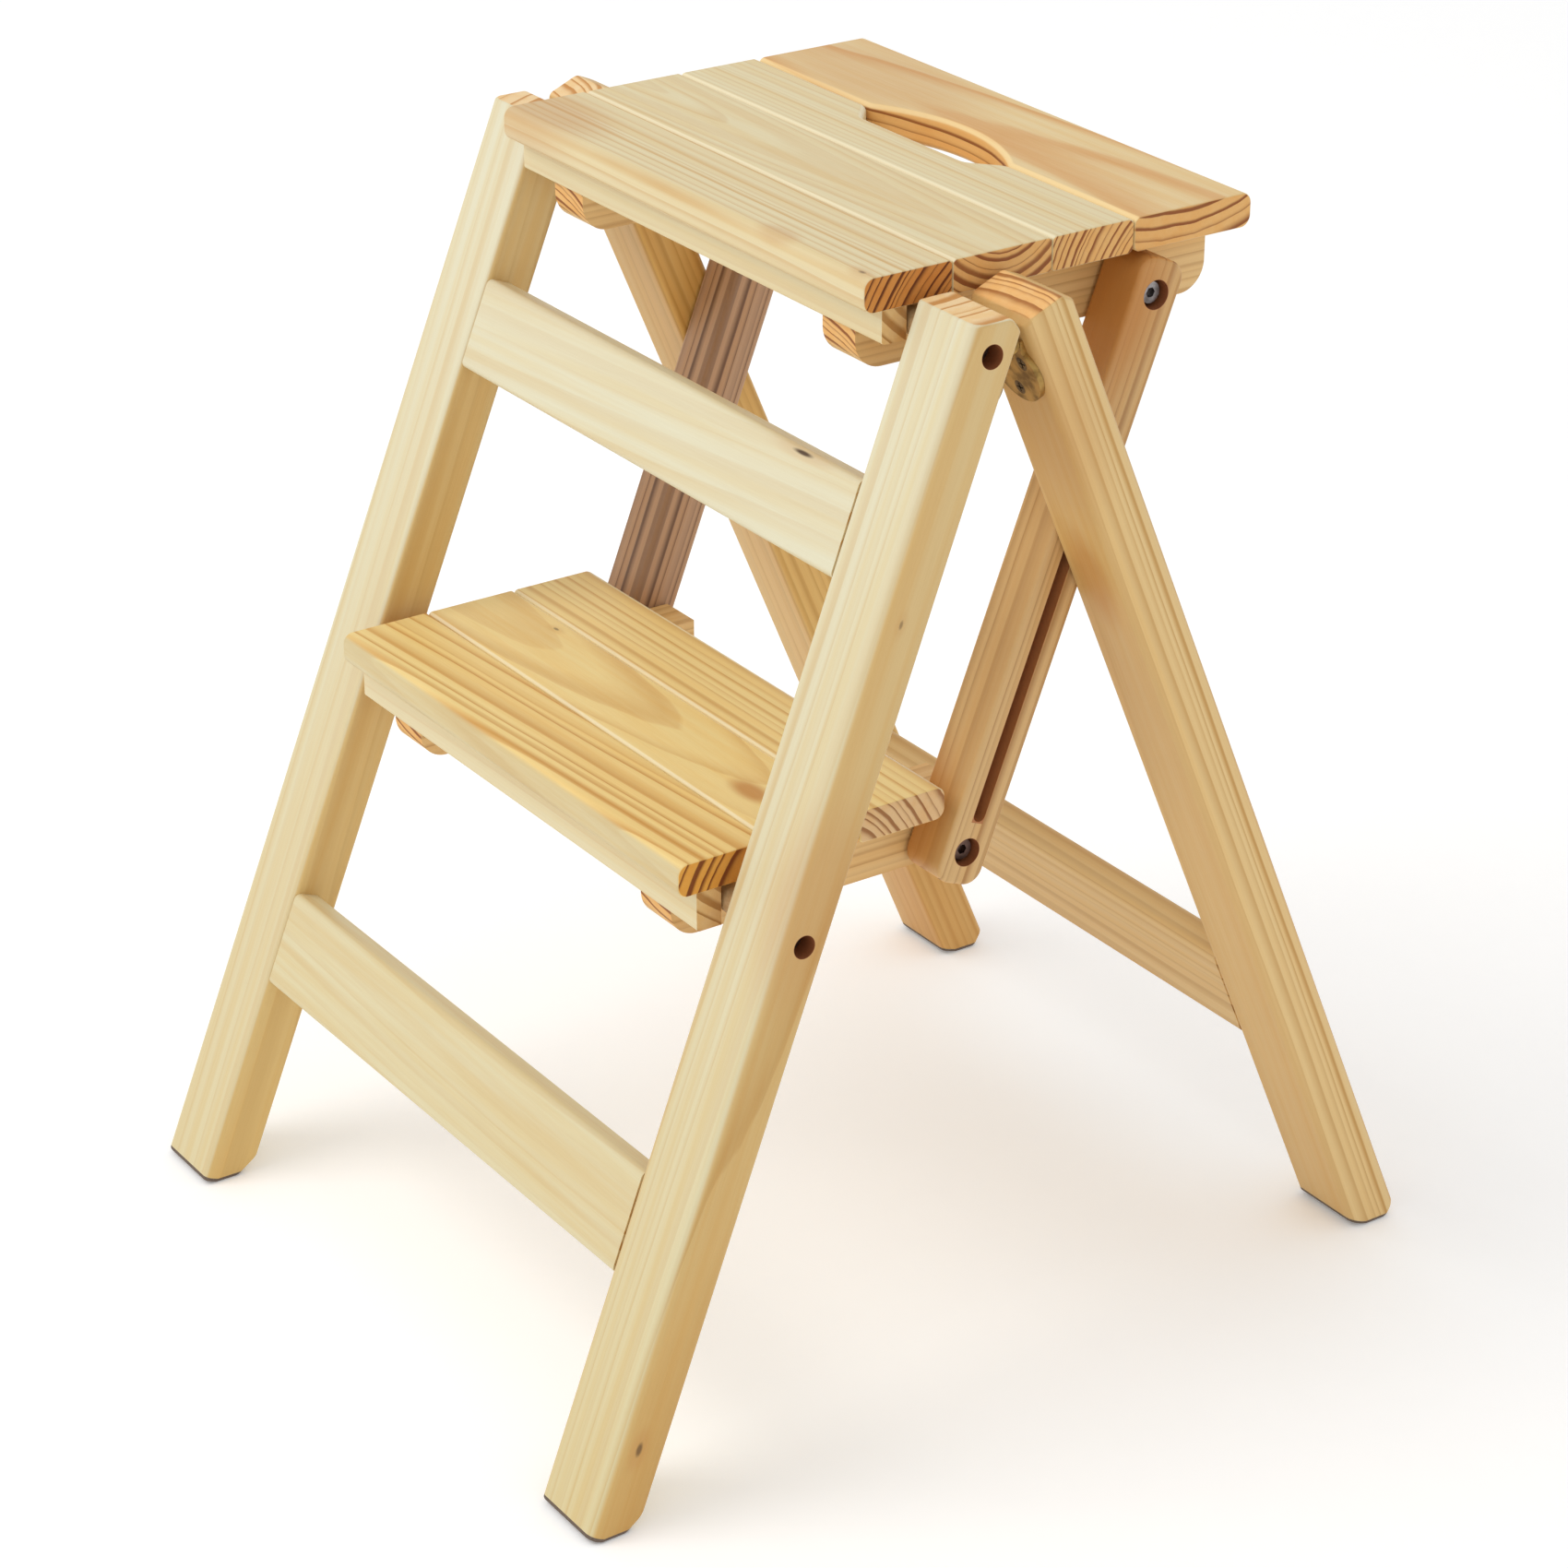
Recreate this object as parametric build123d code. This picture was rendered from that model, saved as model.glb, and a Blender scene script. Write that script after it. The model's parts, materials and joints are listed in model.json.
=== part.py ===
from build123d import *
import os
from math import asin, atan2, cos, degrees, hypot, radians, sin, tan

# Folding two-step stool in pine, in millimetres. +Z is up, the front faces -Y and +X is to the right.
# The origin is on the floor, in the middle of the four feet.

# Legs and frames
leg_width = 40.0              # across the stool
leg_depth = 25.0
leg_inner_radius = 3.0        # along the two edges that face the stool's middle
leg_outer_radius = 5.0
leg_end_radius = 1.5          # around a foot and a top
front_leg_length = 529.5      # along the front face, from the floor to the top
front_lean = 21.5             # degrees, tops towards the rear
front_gap_floor = 306.0       # between the front legs' inner faces at the floor
front_gap_top = 288.0         # and at their tops: the front frame splays a little
rear_lean = 23.0              # degrees, tops towards the front
rear_leg_above_hinge = 11.5
pad_thickness = 2.0
toe_rise = 2.5                # the level tread of a foot starts behind a slope of this height
toe_run = 7.0
heel_rise = 8.0               # and ends in front of a steeper one
heel_run = 8.0
end_round_radius = 4.0        # between a leg's slopes and its flat end
front_top_drop = 8.0          # the front leg's level top slopes down to the rear face
front_top_run = 9.0
rear_top_front_cut = 3.5      # the rear leg's square top has its two corners cut off
rear_top_rear_cut = 6.0

# Rails, by their place along the legs
rail_thickness = 14.0
rail_setback = 0.5
rail_edge_radius = 3.0
upper_rail_bottom = 412.5
upper_rail_height = 42.0
lower_rail_bottom = 106.5
lower_rail_height = 46.0
rear_rail_bottom = 107.5
rear_rail_height = 50.0
dowel_radius = 4.0
dowel_length = 36.0
dowel_edge_distance = 12.0

# Seat and lower step
slat_thickness = 15.0
slat_edge_radius = 2.0        # at the joints between slats
slat_end_radius = 0.8
nose_radius = slat_thickness / 3    # at the front and the rear edge of a tread
seat_slat_widths = (43.2, 49.7, 41.8, 61.5)
seat_slat_gaps = (0.15, 0.15, 0.5)
step_slat_widths = (44.5, 45.6, 43.6)
step_slat_gaps = (0.15, 0.15)
cleat_width = 23.0
cleat_height = 33.0
cleat_front_reach = 17.0      # from a pivot forward to the cleat's front end
seat_cleat_tail = 47.0        # from the link pivot back to the cleat's rear end
step_cleat_tail = 14.0
cleat_end_radius = 13.0
cleat_nose_flat = 1.0         # left between the apron and the cleat's rounded front corner
apron_setback = 9.5           # behind the front edge of the slats
apron_thickness = 12.0
seat_apron_height = 14.5
step_apron_height = 18.0
apron_end_inset = 1.0
apron_edge_radius = 1.5
handle_length = 104.0
handle_end_slope = 14.0       # along the joint, at each end of the straight front edge
handle_front_depth = 12.0     # cut into the slat in front of the handle joint
handle_rear_depth = 15.0      # cut into the rear slat
handle_corner_radius = 8.0
handle_edge_radius = 3.0      # along the whole handle joint

# Folding linkage: two equal and parallel arms on each side
pivot_from_top = 10.0         # seat pivot, down from the front leg's top
step_pivot_height = 270.5     # lower step pivot, along the front leg
link_reach = 116.0            # from a front pivot back to the link's pivot
link_drop = 10.0              # and down
link_width = 25.0             # across the stool
link_depth = 24.0
link_end_radius = link_depth / 3
link_edge_radius = 2.0
groove_width = 6.0
groove_depth = 12.0
groove_upper_spare = 0.5      # past the guide pin in the open stool
groove_lower_spare = 8.5      # and in the folded one

# Hardware
bolt_radius = 3.0
bolt_head_radius = 4.7
bolt_head_height = 5.0
bolt_socket_radius = 2.3
bolt_socket_depth = 2.6
leg_counterbore_depth = 14.0
link_counterbore_depth = 9.0
nut_height = 6.0
nut_radius = 5.8              # over the corners
bolt_end_stand = 1.0
washer_radius = 7.5
washer_thickness = 1.0
spacer_radius = 6.5
slat_screw_radius = 2.0
slat_screw_head_radius = 3.8
slat_screw_head_height = 3.0
slat_screw_bore_radius = 4.2
slat_screw_bore_depth = 10.0
slat_screw_cover = 5.0        # left above the screw's tip
hinge_from_top = 6.0          # down from the front leg's top
hinge_leaf_thickness = 2.5
hinge_barrel_radius = 3.0
hinge_barrel_length = 22.0
hinge_knuckle_length = 7.4
hinge_pin_radius = 1.5
hinge_pin_stand = 0.5
hinge_wing_inset = 4.0        # from the leg's side to the wing
hinge_wing_height = 30.0
hinge_wing_drop = 17.0        # from the axis down to the middle of the wing
hinge_screw_radius = 1.6
hinge_screw_head_radius = 3.2
hinge_screw_head_height = 2.0
hinge_screw_bite = 9.0
hinge_screw_slot_length = 4.2
hinge_screw_slot_width = 0.7
hinge_screw_slot_depth = 0.8
hinge_screw_inset = 8.0       # from the wing's side to the upper two screws
hinge_screw_spacing = 14.5    # from the upper screws down to the lowest

# Clearances
run_fit = 0.05                # radial, shaft in hole
face_gap = 0.3                # between faces that pass each other
link_gap = 0.5                # link to rear leg
leg_head_gap = 0.4            # radial, bolt head in a leg's counterbore
link_head_gap = 1.7           # and in a link's
seat_leg_gap = 6.0            # seat slats to front legs, at the top of the legs
step_leg_gap = 8.4            # step slats to front legs, at the step's pivot
rear_leg_gap = 4.0            # seat slats to rear legs
spacer_gap = 1.0              # pivot spacer to apron
slat_gap = 2.5                # pivot spacer to slats
link_slat_gap = 4.0           # link's upper end to slats
hinge_gap = 2.0               # hinge barrel to legs
screw_gap = 0.5               # hinge screws to the pivot bolt's counterbore
screw_wall = 1.3              # wood between a slat screw and a bolt

touch = 0.01                  # reach for finding edges by their place
long_share = 0.8              # share of a bar's length that makes an edge a long one

parts = {}


class Point:
    """A point of the side view: y towards the rear, z up."""

    def __init__(self, y, z):
        self.y = y
        self.z = z

    def moved(self, y, z):
        return Point(self.y + y, self.z + z)

    def turned(self, centre, angle):
        """Turned about a centre, rear side up for a positive angle in degrees."""
        c, s = cos(radians(angle)), sin(radians(angle))
        y, z = self.y - centre.y, self.z - centre.z
        return Point(centre.y + c * y - s * z, centre.z + s * y + c * z)


# Sizes that follow from those above
leg_counterbore_radius = bolt_head_radius + leg_head_gap
link_counterbore_radius = bolt_head_radius + link_head_gap
seat_slat_length = front_gap_top - 2 * seat_leg_gap
rear_gap = seat_slat_length + 2 * rear_leg_gap
apron_pivot_distance = spacer_radius + spacer_gap
nose_reach = apron_setback + apron_thickness + apron_pivot_distance
pivot_below_slat = spacer_radius + slat_gap
link_end_distance = pivot_below_slat + link_drop - link_slat_gap
slat_screw_bite = slat_thickness - slat_screw_cover
screw_bolt_distance = bolt_radius + slat_screw_bore_radius + screw_wall
hinge_wing_width = leg_width - 2 * hinge_wing_inset
hinge_screw_spread = hinge_wing_width / 2 - hinge_screw_inset
hinge_offset = hinge_barrel_radius + hinge_gap
hinge_place = front_leg_length - hinge_from_top

# Side view of the frames, first with the front feet at y = 0
front_up = Point(sin(radians(front_lean)), cos(radians(front_lean)))
front_in = Point(front_up.z, -front_up.y)
rear_up = Point(-sin(radians(rear_lean)), cos(radians(rear_lean)))
rear_in = Point(rear_up.z, -rear_up.y)
hinge_y = hinge_place * front_up.y + (leg_depth + hinge_offset) * front_in.y
hinge_z = hinge_place * front_up.z + (leg_depth + hinge_offset) * front_in.z
rear_face_y = hinge_y + hinge_offset * rear_in.y
rear_face_z = hinge_z + hinge_offset * rear_in.z
rear_foot = rear_face_y + rear_face_z * tan(radians(rear_lean))
overall_depth = rear_foot + leg_depth / cos(radians(rear_lean))

# Then moved so that the feet, from toe to heel, lie around the origin
toe_setback = toe_rise * tan(radians(front_lean))
heel_setback = heel_rise * tan(radians(rear_lean))
front_foot_y = (heel_setback - toe_setback - overall_depth) / 2
rear_foot_y = rear_foot + front_foot_y
hinge_axis = Point(hinge_y + front_foot_y, hinge_z)
rear_hinge_place = rear_face_z / rear_up.z
rear_leg_length = rear_hinge_place + rear_leg_above_hinge


def on_front(along, depth):
    """Side-view point on the front leg, from its place along the leg and its depth behind the front face."""
    y = front_foot_y + along * front_up.y + depth * front_in.y
    return Point(y, along * front_up.z + depth * front_in.z)


def on_rear(along, depth):
    y = rear_foot_y + along * rear_up.y + depth * rear_in.y
    return Point(y, along * rear_up.z + depth * rear_in.z)


def front_inner(along):
    """Half the gap between the front legs at a place along them."""
    return (front_gap_floor + (front_gap_top - front_gap_floor) * along / front_leg_length) / 2


step_slat_length = 2 * (front_inner(step_pivot_height) - step_leg_gap)
hinge_centre = (front_inner(hinge_place) + rear_gap / 2 + leg_width) / 2
upper_screw_drop = pivot_from_top - hinge_from_top + leg_counterbore_radius + hinge_screw_radius + screw_gap
hinge_screw_places = (
    (-hinge_screw_spread, upper_screw_drop),
    (hinge_screw_spread, upper_screw_drop),
    (0.0, upper_screw_drop + hinge_screw_spacing),
)

# Pivots of the linkage: seat to leg, seat to link, lower step to link, lower step to leg
seat_pivot = on_front(front_leg_length - pivot_from_top, leg_depth / 2)
seat_link_pivot = seat_pivot.moved(link_reach, -link_drop)
step_pivot = on_front(step_pivot_height, leg_depth / 2)
step_link_pivot = step_pivot.moved(link_reach, -link_drop)
link_length = hypot(seat_pivot.y - step_pivot.y, seat_pivot.z - step_pivot.z)

# The guide pin rests where the link crosses the middle of the rear leg
turn_between = sin(radians(front_lean + rear_lean))
rear_middle = on_rear(0, leg_depth / 2)
pin_on_link = ((rear_middle.y - step_link_pivot.y) * rear_up.z
               - (rear_middle.z - step_link_pivot.z) * rear_up.y) / turn_between
guide_pin = step_link_pivot.moved(pin_on_link * front_up.y, pin_on_link * front_up.z)

# Fold: the rear legs close on the front legs, and the guide pins carry the links, the seat and the step along
rear_fold = front_lean + rear_lean
folded_pin = guide_pin.turned(hinge_axis, -rear_fold)
pin_offset = ((folded_pin.y - seat_pivot.y) * front_in.y + (folded_pin.z - seat_pivot.z) * front_in.z)
arm_length = hypot(link_reach, link_drop)
arm_angle = degrees(atan2(-link_drop, link_reach))
leg_angle = 90.0 - front_lean
seat_fold = leg_angle - degrees(asin(pin_offset / arm_length)) - arm_angle
folded_link_foot = step_link_pivot.turned(step_pivot, seat_fold)
folded_pin_on_link = ((folded_pin.y - folded_link_foot.y) * front_up.y
                      + (folded_pin.z - folded_link_foot.z) * front_up.z)
pin_travel = pin_on_link - folded_pin_on_link

# Layers across the stool, from the rear legs inwards
link_outer = rear_gap / 2 - link_gap
link_inner = link_outer - link_width
cleat_outer = link_inner - face_gap - washer_thickness
cleat_inner = cleat_outer - cleat_width
cleat_middle = (cleat_outer + cleat_inner) / 2

front_plane = Plane((0, front_foot_y, 0), x_dir=(1, 0, 0), z_dir=(0, -front_up.z, front_up.y))
rear_plane = Plane((0, rear_foot_y, 0), x_dir=(1, 0, 0), z_dir=(0, -rear_up.z, rear_up.y))


def outline(points):
    return make_face(Polyline(*points, close=True))


def slab(plane, sketch, near, far):
    """A flat piece on a leaning frame: a sketch of (across, along), between two depths behind the plane."""
    return extrude(plane.offset(-near) * sketch, amount=near - far)


def across(sketch, start, end):
    """A piece with a side-view sketch of (y, z), from one x to another."""
    return extrude(Plane.YZ.offset(start) * sketch, amount=end - start)


def rod(centre, radius, start, end):
    """A cylinder along X through a side-view point."""
    return across(Pos(centre.y, centre.z) * Circle(radius), start, end)


def peg(plane, place, radius, near, far):
    """A cylinder square to a leaning frame's face, between two depths behind it."""
    return slab(plane, Pos(*place) * Circle(radius), near, far)


def both_sides(solid):
    return [solid, solid.mirror(Plane.YZ)]


def group(name, solids):
    parts[name] = Compound(children=list(solids), label=name)


def long_edges(solid, length):
    return [edge for edge in solid.edges() if edge.length > long_share * length]


# Pivot bolts: a socket head outside, a shank along X and a hexagon nut on the inner end
def bolt(centre, head_seat, inner_end):
    """The head stands outwards from its seat, and the shank runs inwards to its end."""
    head = rod(centre, bolt_head_radius, head_seat, head_seat + bolt_head_height)
    socket_floor = head_seat + bolt_head_height - bolt_socket_depth
    hexagon = Pos(centre.y, centre.z) * RegularPolygon(bolt_socket_radius, 6)
    socket = across(hexagon, socket_floor, head_seat + bolt_head_height)
    return rod(centre, bolt_radius, inner_end, head_seat) + head - socket


def nut(centre, outer_face):
    place = Pos(centre.y, centre.z)
    profile = place * RegularPolygon(nut_radius, 6) - place * Circle(bolt_radius)
    return across(profile, outer_face - nut_height, outer_face)


def ring(centre, radius, hole_radius, start, end):
    return rod(centre, radius, start, end) - rod(centre, hole_radius, start, end)


def leg_bolt_seat(along):
    """X of the floor of the counterbore in the right front leg."""
    return front_inner(along) + leg_width - leg_counterbore_depth


leg_pivots = {
    "seat": (seat_pivot, front_leg_length - pivot_from_top),
    "step": (step_pivot, step_pivot_height),
}
link_pivots = {"seat": seat_link_pivot, "step": step_link_pivot}
leg_nut_face = cleat_inner - face_gap
leg_bolt_end = leg_nut_face - nut_height - bolt_end_stand
link_bolt_seat = link_outer - link_counterbore_depth
link_bolt_end = cleat_inner - nut_height - bolt_end_stand


# Dowels that join the rails to the legs
def dowels(point_on, inner_of, bottom, height):
    pegs = []
    for along in (bottom + dowel_edge_distance, bottom + height - dowel_edge_distance):
        centre = point_on(along, rail_setback + rail_thickness / 2)
        start = inner_of(along) - dowel_length / 2
        pegs += both_sides(rod(centre, dowel_radius, start, start + dowel_length))
    return pegs


def rear_inner(along):
    return rear_gap / 2


upper_dowels = dowels(on_front, front_inner, upper_rail_bottom, upper_rail_height)
lower_dowels = dowels(on_front, front_inner, lower_rail_bottom, lower_rail_height)
rear_dowels = dowels(on_rear, rear_inner, rear_rail_bottom, rear_rail_height)


# Hinges: two oval leaves on each side, their knuckles on one pin
def hinge_screw(plane, across_place, along, face, inwards):
    """A countersunk screw whose head lies in the leaf's outer face; inwards is +1 or -1 along the depth."""
    place = (across_place, along)
    head_floor = face + inwards * hinge_screw_head_height
    head = loft([
        plane.offset(-face) * Pos(*place) * Circle(hinge_screw_head_radius),
        plane.offset(-head_floor) * Pos(*place) * Circle(hinge_screw_radius),
    ])
    tip = face + inwards * (hinge_leaf_thickness + hinge_screw_bite)
    return head + peg(plane, place, hinge_screw_radius, head_floor, tip)


def screw_slots(plane, across_place, along, face, inwards):
    """The cross recess that is cut into a screw head."""
    slot = Rectangle(hinge_screw_slot_length, hinge_screw_slot_width)
    cross = slot + Rectangle(hinge_screw_slot_width, hinge_screw_slot_length)
    floor = face + inwards * hinge_screw_slot_depth
    return slab(plane, Pos(across_place, along) * cross, face, floor)


def hinge_screws(plane, axis_along, face, inwards, slotted):
    screws = []
    for across_offset, drop in hinge_screw_places:
        place = (hinge_centre + across_offset, axis_along - drop)
        screw = hinge_screw(plane, *place, face, inwards)
        if slotted:
            screw -= screw_slots(plane, *place, face, inwards)
        screws.append(screw)
    return screws


def hinge_leaf(plane, axis_along, near, far, knuckles, other_knuckles, bore, screws):
    """An oval wing under a short straight top, with knuckles around the hinge axis."""
    top_place = Pos(hinge_centre, axis_along - hinge_wing_drop / 2)
    top = top_place * Rectangle(hinge_barrel_length, hinge_wing_drop)
    wing_place = Pos(hinge_centre, axis_along - hinge_wing_drop)
    wing = wing_place * Ellipse(hinge_wing_width / 2, hinge_wing_height / 2)
    leaf = slab(plane, top + wing, near, far)
    for start, end in knuckles:
        leaf += rod(hinge_axis, hinge_barrel_radius, hinge_centre + start, hinge_centre + end)
    for start, end in other_knuckles:
        room = hinge_barrel_radius + face_gap
        leaf -= rod(hinge_axis, room, hinge_centre + start - face_gap, hinge_centre + end + face_gap)
    leaf -= rod(hinge_axis, bore, hinge_centre - hinge_barrel_length, hinge_centre + hinge_barrel_length)
    for screw in screws:
        leaf -= screw
    return leaf


half_barrel = hinge_barrel_length / 2
half_knuckle = hinge_knuckle_length / 2
middle_knuckle = [(-half_knuckle, half_knuckle)]
end_knuckles = [
    (-half_barrel, -half_knuckle - face_gap),
    (half_knuckle + face_gap, half_barrel),
]
front_leaf_face = leg_depth + hinge_leaf_thickness
front_screw_holes = hinge_screws(front_plane, hinge_place, front_leaf_face, -1, False)
rear_screw_holes = hinge_screws(rear_plane, rear_hinge_place, -hinge_leaf_thickness, 1, False)
front_leaf = hinge_leaf(front_plane, hinge_place, leg_depth, front_leaf_face,
                        end_knuckles, middle_knuckle, hinge_pin_radius, front_screw_holes)
rear_leaf = hinge_leaf(rear_plane, rear_hinge_place, -hinge_leaf_thickness, 0.0,
                       middle_knuckle, end_knuckles, hinge_pin_radius + run_fit, rear_screw_holes)
hinge_pin = rod(hinge_axis, hinge_pin_radius, hinge_centre - half_barrel - hinge_pin_stand,
                hinge_centre + half_barrel + hinge_pin_stand)


# Legs: leaning bars with eased edges, feet with a level tread, and thin pads
def face_y(point_on, depth, height):
    """Y of a leg's face, which lies at a depth behind its front, at a height above the floor."""
    low = point_on(0.0, depth)
    high = point_on(front_leg_length, depth)
    return low.y + (height - low.z) * (high.y - low.y) / (high.z - low.z)


def sole_points(point_on, height):
    """Side-view outline under a foot, from its front face to its rear face, with the tread at a height."""
    toe_height = height + toe_rise
    heel_height = height + heel_rise
    return [
        (face_y(point_on, 0.0, toe_height), toe_height),
        (face_y(point_on, 0.0, height) + toe_run, height),
        (face_y(point_on, leg_depth, height) - heel_run, height),
        (face_y(point_on, leg_depth, heel_height), heel_height),
    ]


def front_top_points():
    """The front leg's top: level, then sloping down to the rear face."""
    top = on_front(front_leg_length, 0.0)
    rear_top = face_y(on_front, leg_depth, top.z)
    low = top.z - front_top_drop
    return [
        (top.y, top.z),
        (rear_top - front_top_run, top.z),
        (face_y(on_front, leg_depth, low), low),
    ]


def rear_top_points():
    """The rear leg's top: square to the leg, with its corners cut off."""
    places = [
        on_rear(rear_leg_length - rear_top_front_cut, 0.0),
        on_rear(rear_leg_length, rear_top_front_cut),
        on_rear(rear_leg_length, leg_depth - rear_top_rear_cut),
        on_rear(rear_leg_length - rear_top_rear_cut, leg_depth),
    ]
    return [(place.y, place.z) for place in places]


def beyond(points, side):
    """All that lies above a leg's top (side +1) or below its foot (side -1), rounded inside the leg."""
    far = side * front_leg_length
    first_y, first_z = points[0]
    last_y, last_z = points[-1]
    corners = [(first_y - leg_depth, first_z)] + points + [(last_y + leg_depth, last_z)]
    corners += [(last_y + leg_depth, last_z + far), (first_y - leg_depth, first_z + far)]
    area = outline(corners)
    rounded = []
    for vertex in area.vertices():
        for y, z in points[1:-1]:
            if hypot(vertex.X - y, vertex.Y - z) < touch:
                rounded.append(vertex)
    if rounded:
        area = fillet(rounded, end_round_radius)
    return across(area, 0.0, 2 * front_gap_floor)


def rim(faces):
    """The edges around a patch of faces, without those inside it."""
    edges = [edge for face in faces for edge in face.edges()]
    return [edge for edge in edges if sum(edge.is_same(other) for other in edges) == 1]


def leg_bar(plane, corners, length, sole, top):
    """A leg with its ends shaped, still in one piece with its pad."""
    bar = slab(plane, outline(corners), 0.0, leg_depth)
    edges = ShapeList(long_edges(bar, length)).sort_by(Axis.X)
    bar = fillet(edges[:2], leg_inner_radius)
    edges = ShapeList(long_edges(bar, length)).sort_by(Axis.X)
    bar = fillet(edges[-2:], leg_outer_radius)
    bar -= beyond(sole, -1)
    bar -= beyond(top, 1)
    foot_height = max(z for y, z in sole)
    top_height = min(z for y, z in top)
    foot_faces = [face for face in bar.faces() if face.center().Z < foot_height]
    bar = fillet(rim(foot_faces), leg_end_radius)
    top_faces = [face for face in bar.faces() if face.center().Z > top_height]
    return fillet(rim(top_faces), leg_end_radius)


def split_pad(bar, point_on):
    """The wood of a leg, and the pad that covers its sole from the toe to the heel."""
    below_wood = beyond(sole_points(point_on, pad_thickness)[:2], -1)
    return bar - below_wood, bar & below_wood


def front_leg():
    start = -leg_depth
    end = front_leg_length + leg_depth
    corners = [
        (front_inner(start), start),
        (front_inner(start) + leg_width, start),
        (front_inner(end) + leg_width, end),
        (front_inner(end), end),
    ]
    bar = leg_bar(front_plane, corners, front_leg_length, sole_points(on_front, 0.0), front_top_points())
    leg, pad = split_pad(bar, on_front)
    for centre, along in leg_pivots.values():
        seat = leg_bolt_seat(along)
        leg -= rod(centre, bolt_radius, 0, seat)
        leg -= rod(centre, leg_counterbore_radius, seat, seat + 2 * leg_width)
    for hole in upper_dowels + lower_dowels + front_screw_holes:
        leg -= hole
    return leg, pad


def rear_leg():
    start = -leg_depth
    end = rear_leg_length + leg_depth
    corners = [
        (rear_gap / 2, start),
        (rear_gap / 2 + leg_width, start),
        (rear_gap / 2 + leg_width, end),
        (rear_gap / 2, end),
    ]
    bar = leg_bar(rear_plane, corners, rear_leg_length, sole_points(on_rear, 0.0), rear_top_points())
    leg, pad = split_pad(bar, on_rear)
    for hole in rear_dowels + rear_screw_holes:
        leg -= hole
    return leg, pad


def rail(plane, inner_of, bottom, height, holes):
    top = bottom + height
    corners = [
        (-inner_of(bottom), bottom),
        (inner_of(bottom), bottom),
        (inner_of(top), top),
        (-inner_of(top), top),
    ]
    bar = slab(plane, outline(corners), rail_setback, rail_setback + rail_thickness)
    bar = fillet(long_edges(bar, rear_gap), rail_edge_radius)
    for hole in holes:
        bar -= hole
    return bar


# Slats: side-view bars with eased edges, rounder at the front and the rear edge of a tread
def slat(front, width, under, length, front_radius, rear_radius):
    profile = Pos(front + width / 2, under + slat_thickness / 2) * Rectangle(width, slat_thickness)
    corners = profile.vertices().sort_by(Axis.X)
    if front_radius > 0:
        profile = fillet(corners[:2], front_radius)
    if rear_radius > 0:
        profile = fillet(profile.vertices().sort_by(Axis.X)[-2:], rear_radius)
    return across(profile, -length / 2, length / 2)


def eased_ends(solid):
    """A slat with a small round along the edges of its two ends."""
    ends = solid.faces().sort_by(Axis.X)
    return fillet(ends[0].edges() + ends[-1].edges(), slat_end_radius)


def tread(names, front, widths, gaps, under, length, square_joint):
    """The slats of one tread, from its front edge to the rear, and each slat's front edge.

    The edges at the joint with the number square_joint are left square.
    """
    slats = {}
    starts = {}
    place = front
    last = len(names) - 1
    for index, name in enumerate(names):
        front_radius = nose_radius if index == 0 else slat_edge_radius
        if index - 1 == square_joint:
            front_radius = 0.0
        rear_radius = nose_radius if index == last else slat_edge_radius
        if index == square_joint:
            rear_radius = 0.0
        slats[name] = slat(place, widths[index], under, length, front_radius, rear_radius)
        starts[name] = place
        if index < last:
            place += widths[index] + gaps[index]
    return slats, starts


def handle_hole(joint, under):
    """A finger hole over a slat joint, straight at the front and arched at the rear."""
    half = handle_length / 2
    flat = half - handle_end_slope
    front_edge = joint - handle_front_depth
    rear_arc = ThreePointArc((-half, joint), (0, joint + handle_rear_depth), (half, joint))
    front_line = Polyline((half, joint), (flat, front_edge), (-flat, front_edge), (-half, joint))
    opening = make_face(rear_arc + front_line)
    return extrude(Plane.XY.offset(under - slat_thickness) * opening, amount=3 * slat_thickness)


def with_handle(solid, hole, joint):
    """A square-edged slat with its half of the finger hole and a round along the whole joint side."""
    solid -= hole
    half = handle_length / 2 + touch
    corners = [edge for edge in solid.edges().filter_by(Axis.Z) if abs(edge.center().X) < half]
    solid = fillet(corners, handle_corner_radius)
    box = solid.bounding_box()
    reach = max(handle_front_depth, handle_rear_depth) + touch
    rims = []
    for face in solid.faces().filter_by(Plane.XY):
        for edge in face.edges():
            place = edge.center()
            if abs(place.Y - joint) < reach and abs(place.X) < box.max.X - touch:
                rims.append(edge)
    return fillet(rims, handle_edge_radius)


# Cleats: bars under the slats, notched for the apron, with a rounded foot at each end
def cleat_profile(pivot, tail_end, apron_height):
    top = pivot.z + pivot_below_slat
    bottom = top - cleat_height
    notch = pivot.y - apron_pivot_distance
    front = pivot.y - cleat_front_reach
    corners = [
        (notch, top),
        (notch, top - apron_height),
        (front, top - apron_height),
        (front, bottom),
        (tail_end, bottom),
        (tail_end, top),
    ]
    profile = outline(corners)
    radius = min(cleat_end_radius, cleat_height - apron_height - cleat_nose_flat)
    return fillet(profile.vertices().group_by(Axis.Y)[0], radius)


def cleat(pivot, link_pivot, tail, apron_height, screw_places):
    solid = across(cleat_profile(pivot, link_pivot.y + tail, apron_height), cleat_inner, cleat_outer)
    solid -= rod(pivot, bolt_radius + run_fit, cleat_inner, cleat_outer)
    solid -= rod(link_pivot, bolt_radius, cleat_inner, cleat_outer)
    for place in screw_places:
        solid -= slat_screw_hole(place, pivot.z + pivot_below_slat)
    return solid


def apron(pivot, height, length):
    top = pivot.z + pivot_below_slat
    front = pivot.y - nose_reach + apron_setback
    profile = Pos(front + apron_thickness / 2, top - height / 2) * Rectangle(apron_thickness, height)
    low_front = profile.vertices().group_by(Axis.Y)[0].sort_by(Axis.X)[0]
    profile = fillet(low_front, apron_edge_radius)
    half = length / 2 - apron_end_inset
    return across(profile, -half, half)


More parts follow.
